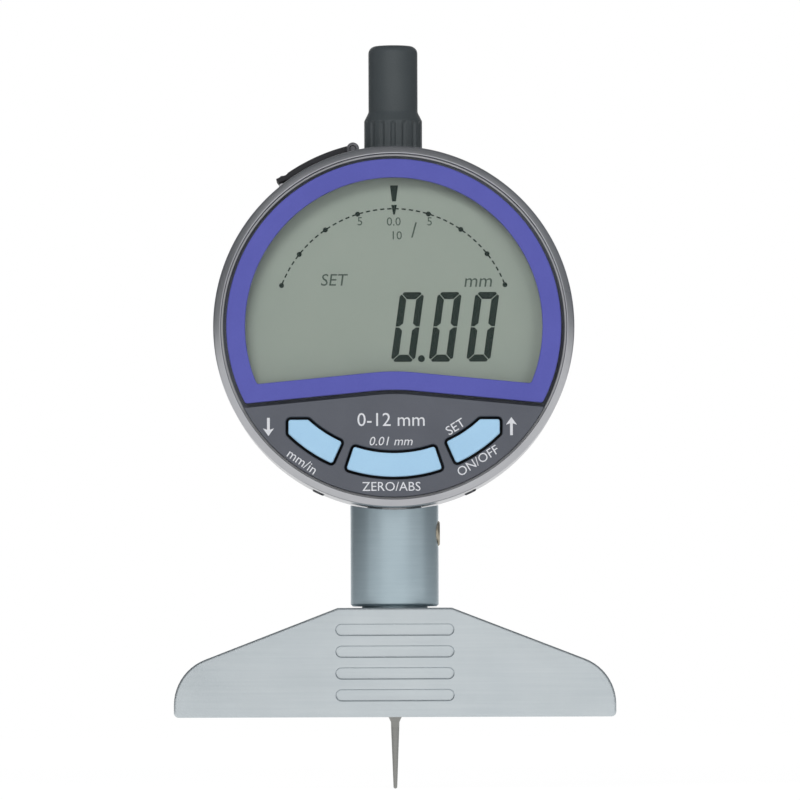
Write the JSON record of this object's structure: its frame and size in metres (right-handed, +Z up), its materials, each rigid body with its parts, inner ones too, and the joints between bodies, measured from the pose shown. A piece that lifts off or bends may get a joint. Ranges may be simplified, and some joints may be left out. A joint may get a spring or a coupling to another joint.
{
  "type": "depth gauge",
  "caption": "Depth gauge: sloped steel base, column and round digital indicator with keys, capped spindle and long needle contact.",
  "frame": {"origin": "the needle's tip with the spindle fully out, on the spindle's axis, the lowest point of the gauge", "axes": "+Z up along the spindle, from the needle towards the cap; -Y out of the display; +X along the base to the display's right"},
  "size_m": [0.0636, 0.024, 0.1073],
  "materials": {
    "ground_steel": "fine ground, satin",
    "column_steel": "turned, bluish satin",
    "case_metal": "smooth silver",
    "dark_steel": "black oxide",
    "brass": "turned",
    "grey_plate": "fine matt dark grey",
    "blue_plastic": "semi-gloss blue",
    "key_plastic": "matt light blue",
    "charcoal_plastic": "satin charcoal",
    "black_plastic": "fine matt black",
    "rubber": "matt black",
    "window": "clear",
    "lcd": "grey-green display glass",
    "circuit_board": "green board"
  },
  "bodies": {
    "gauge": {"base_beam": "ground_steel", "column": "column_steel", "column_clamp_screw": "brass", "indicator_stem": "case_metal", "stem_bush": "brass", "upper_bush": "brass", "case_body": "case_metal", "rim_screw_left": "dark_steel", "rim_screw_right": "dark_steel", "face_plate": "grey_plate", "display_frame": "blue_plastic", "display_window": "window", "lcd_panel": "lcd", "zebra_strip": "rubber", "main_board": "circuit_board", "sensor_board": "circuit_board", "key_mat": "rubber", "back_cover": "black_plastic", "back_cover_screw_1": "dark_steel", "back_cover_screw_2": "dark_steel", "back_cover_screw_3": "dark_steel", "back_cover_screw_4": "dark_steel", "battery_holder": "black_plastic", "battery_contact": "brass", "battery_cell": "case_metal", "data_socket": "black_plastic", "cover_hinge_pin": "ground_steel", "guide_rail": "ground_steel", "spindle_cap": "charcoal_plastic", "return_spring": "ground_steel"},
    "spindle": {"spindle_rod": "ground_steel", "contact_needle": "ground_steel", "scale_carrier": "brass", "carrier_screw": "dark_steel", "scale_strip": "case_metal", "stop_collar": "rubber"},
    "left_key": {"key_left": "key_plastic"},
    "middle_key": {"key_middle": "key_plastic"},
    "right_key": {"key_right": "key_plastic"},
    "output_cover": {"connector_cover": "rubber"},
    "lid_ring": {"lid_seal": "rubber"},
    "lid": {"battery_lid": "black_plastic"}
  },
  "joints": [
    {"name": "spindle_slide", "type": "slide", "parent": "gauge", "child": "spindle", "axis": [0, 0, 1], "range_m": [0, 0.012], "stiffness_N_per_m": 15, "springref_m": -0.012, "deforming": ["return_spring"]},
    {"name": "left_key_press", "type": "slide", "parent": "gauge", "child": "left_key", "axis": [0, 1, 0], "range_m": [0, 0.0005], "stiffness_N_per_m": 500},
    {"name": "middle_key_press", "type": "slide", "parent": "gauge", "child": "middle_key", "axis": [0, 1, 0], "range_m": [0, 0.0005], "stiffness_N_per_m": 500},
    {"name": "right_key_press", "type": "slide", "parent": "gauge", "child": "right_key", "axis": [0, 1, 0], "range_m": [0, 0.0005], "stiffness_N_per_m": 500},
    {"name": "output_cover_hinge", "type": "hinge", "parent": "gauge", "child": "output_cover", "pos_m": [-0.0058, 0, 0.09211], "axis": [0, 1, 0], "range_deg": [0, 90]},
    {"name": "battery_lid_lift", "type": "slide", "parent": "gauge", "child": "lid_ring", "axis": [0, 1, 0], "range_m": [0, 0.006]},
    {"name": "battery_lid_turn", "type": "hinge", "parent": "lid_ring", "child": "lid", "pos_m": [0, 0, 0.0663], "axis": [0, 1, 0], "range_deg": [0, 45]}
  ]
}
